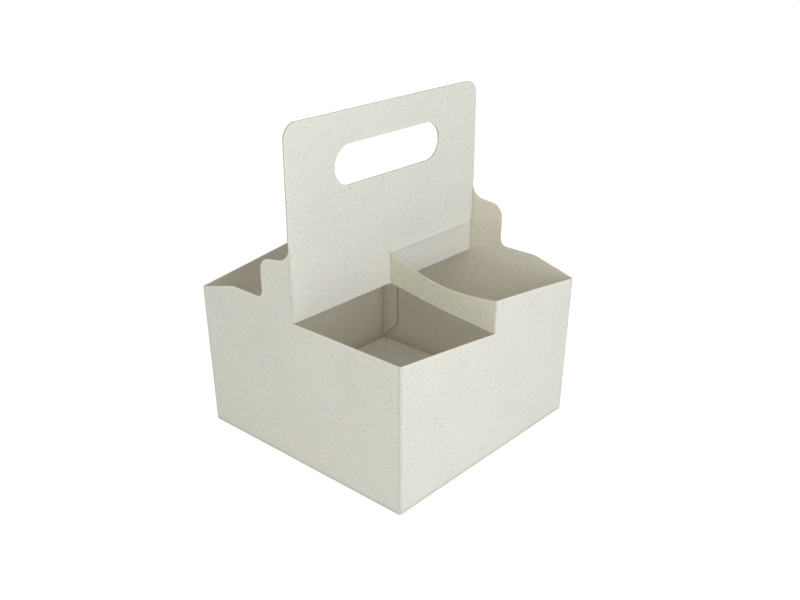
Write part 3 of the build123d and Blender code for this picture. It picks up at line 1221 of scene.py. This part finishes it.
class CARRIER_OT_beads(bpy.types.Operator):
    """Runs the scored beads beside the upright folds inside the walls"""

    bl_idname = "carrier.beads"
    bl_label = "Crease beads"

    def execute(self, context):
        sizes = context.scene.carrier_sizes
        finish = context.scene.carrier_finish
        inner = sizes.board / 2
        wire = bmesh.new()
        for turned in (False, True):
            shape = Shape(sizes, turned)
            for offset in (sizes.bead_offset, 2.2 * sizes.bead_offset):
                for station, side in ((0, 1), (2 * HALF, 1), (4 * HALF, -1)):
                    self.line(wire, shape, station + side * offset, inner)
        mesh = bpy.data.meshes.new("crease_beads")
        wire.to_mesh(mesh)
        wire.free()
        piece = bpy.data.objects.new("crease_beads", mesh)
        context.scene.collection.objects.link(piece)
        modifier = piece.modifiers.new("beads", "NODES")
        modifier.node_group = bead_tree()
        values = {
            "Radius": sizes.bead_radius,
            "Spacing": sizes.mesh_step,
            "Unevenness": 1.2,
            "Seed": float(finish.seed),
            "Material": bpy.data.materials["board_liner"],
        }
        set_inputs(modifier, values)
        mesh = plain_mesh(piece)
        for face in mesh.polygons:
            face.use_smooth = True
        settle(piece)
        return {"FINISHED"}

    def line(self, wire, shape, u, inner):
        """One upright line on the inner face of a wall."""
        sizes = shape.s
        low = sizes.floor_rise + 4 * MM
        high = sizes.rim_height - sizes.flap_head_gap - 1 * MM
        count = math.ceil((high - low) / sizes.mesh_step)
        last = None
        for i in range(count + 1):
            z = low + (high - low) * i / count
            spot = shape.wall(u, z)
            inward = Vector((-spot.x, 0, 0)) if u < 2 * HALF else Vector((0, -spot.y, 0))
            vert = wire.verts.new(spot + inward.normalized() * inner)
            if last:
                wire.edges.new((last, vert))
            last = vert


class CARRIER_OT_fibres(bpy.types.Operator):
    """Scatters loose pulp fibres on the faces and along the cut edges"""

    bl_idname = "carrier.fibres"
    bl_label = "Loose fibres"

    def execute(self, context):
        finish = context.scene.carrier_finish
        sheet = bpy.data.objects["folded_sheet"]
        tree = fibre_tree()
        area = sum(face.area for face in sheet.data.polygons)
        density = finish.fibres / area
        pale = fibre_material("pale_fibre", finish.light_fleck, finish)
        grey = fibre_material("grey_fibre", finish.dark_fleck, finish)
        head_room = CAD_BOX[1].z - 7 * MM
        kinds = (
            ("outer_pale_fibres", 0, density * 2, 1.9 * MM, 0.10 * MM, pale),
            ("inner_pale_fibres", 1, density, 1.9 * MM, 0.10 * MM, pale),
            ("outer_grey_fibres", 0, density * 0.8, 1.1 * MM, 0.07 * MM, grey),
            ("edge_fuzz", 2, finish.fuzz, 0.8 * MM, 0.25 * MM, pale),
        )
        for i, (name, surface, density, long, lift, material) in enumerate(kinds):
            piece = bpy.data.objects.new(name, sheet.data.copy())
            context.scene.collection.objects.link(piece)
            modifier = piece.modifiers.new("fibres", "NODES")
            modifier.node_group = tree
            values = {
                "Surface": surface,
                "Density": float(density),
                "Length": long,
                "Radius": finish.fibre_radius,
                "Lift": lift,
                "Head room": head_room,
                "Seed": finish.seed + i,
                "Material": material,
            }
            set_inputs(modifier, values)
            plain_mesh(piece)
            settle(piece)
        return {"FINISHED"}


class CARRIER_OT_stage(bpy.types.Operator):
    """Sets the floor, the lamps and the camera"""

    bl_idname = "carrier.stage"
    bl_label = "Stage"

    def execute(self, context):
        setup = context.scene.carrier_stage
        self.floor(context, setup)
        self.lamps(context, setup)
        self.world(context, setup)
        self.camera(context, setup)
        context.scene.view_settings.view_transform = "Standard"
        return {"FINISHED"}

    def floor(self, context, setup):
        """A pale floor that shows white and keeps the soft shadow."""
        size = setup.floor_size
        mesh = bpy.data.meshes.new("floor")
        corners = [(-size, -size, 0), (size, -size, 0), (size, size, 0), (-size, size, 0)]
        mesh.from_pydata(corners, [], [(0, 1, 2, 3)])
        material = bpy.data.materials.new("floor")
        material.use_nodes = True
        tree = material.node_tree
        tree.nodes.clear()
        seen = add(tree, "ShaderNodeLightPath").outputs["Is Camera Ray"]
        paper = add(tree, "ShaderNodeBsdfDiffuse", {0: (*setup.floor_tint, 1)})
        glow = add(tree, "ShaderNodeEmission", {0: (1, 1, 1, 1), 1: setup.floor_glow})
        none = add(tree, "ShaderNodeEmission", {0: (0, 0, 0, 1), 1: 0.0})
        extra = add(tree, "ShaderNodeMixShader", {0: seen, 1: none.outputs[0], 2: glow.outputs[0]})
        both = add(tree, "ShaderNodeAddShader", {0: paper.outputs[0], 1: extra.outputs[0]})
        add(tree, "ShaderNodeOutputMaterial", {0: both.outputs[0]})
        mesh.materials.append(material)
        floor = bpy.data.objects.new("floor", mesh)
        context.scene.collection.objects.link(floor)

    def aimed(self, context, name, data, place, aim):
        """A lamp or a camera at a place, turned to look at another."""
        piece = bpy.data.objects.new(name, data)
        piece.location = place
        look = Vector(aim) - Vector(place)
        piece.rotation_euler = look.to_track_quat("-Z", "Y").to_euler()
        context.scene.collection.objects.link(piece)
        return piece

    def lamps(self, context, setup):
        """A large soft key from the front, and a warmer fill from the left."""
        for name in ("key", "fill"):
            light = bpy.data.lights.new(name, "AREA")
            light.shape = "SQUARE"
            light.size = getattr(setup, name + "_side")
            light.energy = getattr(setup, name)
            light.color = getattr(setup, name + "_tint")
            place = getattr(setup, name + "_place")
            self.aimed(context, name, light, place, setup.lamp_aim)

    def world(self, context, setup):
        """Even light, white where the camera sees it."""
        world = bpy.data.worlds.new("studio")
        context.scene.world = world
        world.use_nodes = True
        tree = world.node_tree
        tree.nodes.clear()
        seen = add(tree, "ShaderNodeLightPath").outputs["Is Camera Ray"]
        even = add(tree, "ShaderNodeBackground", {0: (1, 1, 1, 1), 1: setup.sky})
        white = add(tree, "ShaderNodeBackground", {0: (1, 1, 1, 1), 1: 1.0})
        both = add(tree, "ShaderNodeMixShader", {0: seen, 1: even.outputs[0], 2: white.outputs[0]})
        add(tree, "ShaderNodeOutputWorld", {0: both.outputs[0]})

    def camera(self, context, setup):
        """A level camera that looks down on the carrier's front corner."""
        data = bpy.data.cameras.new("camera")
        data.lens = setup.lens
        place = setup.camera_place
        context.scene.camera = self.aimed(context, "camera", data, place, setup.camera_aim)


class CARRIER_PT_panel(bpy.types.Panel):
    """Lists the carrier's pieces, sizes and colours"""

    bl_idname = "CARRIER_PT_panel"
    bl_label = "Cup Carrier"
    bl_space_type = "VIEW_3D"
    bl_region_type = "UI"
    bl_category = "Carrier"

    def draw(self, context):
        for operator in OPERATORS:
            self.layout.operator(operator.bl_idname)
        for group in (
            context.scene.carrier_sizes,
            context.scene.carrier_finish,
            context.scene.carrier_stage,
        ):
            for name in group.__annotations__:
                self.layout.prop(group, name)


OPERATORS = (CARRIER_OT_sheet, CARRIER_OT_beads, CARRIER_OT_fibres, CARRIER_OT_stage)
CLASSES = (CarrierSizes, BoardFinish, StageSetup, *OPERATORS, CARRIER_PT_panel)


def register():
    """Adds the classes and the scene's settings."""
    for cls in CLASSES:
        bpy.utils.register_class(cls)
    bpy.types.Scene.carrier_sizes = PointerProperty(type=CarrierSizes)
    bpy.types.Scene.carrier_finish = PointerProperty(type=BoardFinish)
    bpy.types.Scene.carrier_stage = PointerProperty(type=StageSetup)


def unregister():
    """Removes the classes and the scene's settings."""
    del bpy.types.Scene.carrier_stage
    del bpy.types.Scene.carrier_finish
    del bpy.types.Scene.carrier_sizes
    for cls in reversed(CLASSES):
        bpy.utils.unregister_class(cls)


def main():
    """Builds the carrier and its stage."""
    register()
    bpy.ops.carrier.sheet()
    bpy.ops.carrier.beads()
    bpy.ops.carrier.fibres()
    bpy.ops.carrier.stage()


if __name__ == "__main__":
    main()
